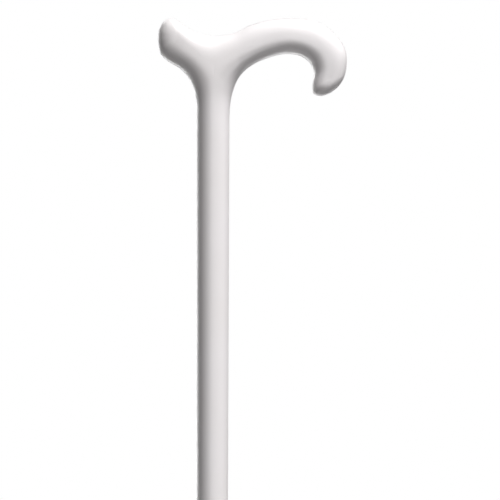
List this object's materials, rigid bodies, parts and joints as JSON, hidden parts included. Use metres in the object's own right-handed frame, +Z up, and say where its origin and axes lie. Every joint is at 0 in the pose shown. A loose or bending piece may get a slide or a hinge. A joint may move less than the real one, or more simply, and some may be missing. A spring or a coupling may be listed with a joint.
{
  "type": "walking cane",
  "caption": "White derby-handled walking cane: painted hardwood handle studded to a tapered shaft, with a push-fit rubber tip on the floor end.",
  "frame": {"origin": "centre of the rubber tip's foot, where the shaft's axis meets the floor", "axes": "+Z up along the shaft, +X along the grip from the heel towards the hook, +Y across the grip, away from a viewer who sees the hook on the right"},
  "size_m": [0.1282, 0.035, 0.9144],
  "materials": {
    "white_paint": "smooth satin-gloss white enamel over turned and carved hardwood",
    "zinc_steel": "zinc-plated steel",
    "black_rubber": "moulded rubber, matt"
  },
  "bodies": {
    "cane": {"handle": "white_paint", "shaft": "white_paint", "joint_stud": "zinc_steel"},
    "tip": {"rubber_tip": "black_rubber", "tip_washer": "zinc_steel"}
  },
  "joints": [
    {"name": "tip_pull_off", "type": "slide", "parent": "cane", "child": "tip", "axis": [0, 0, -1], "range_m": [0, 0.04]}
  ]
}
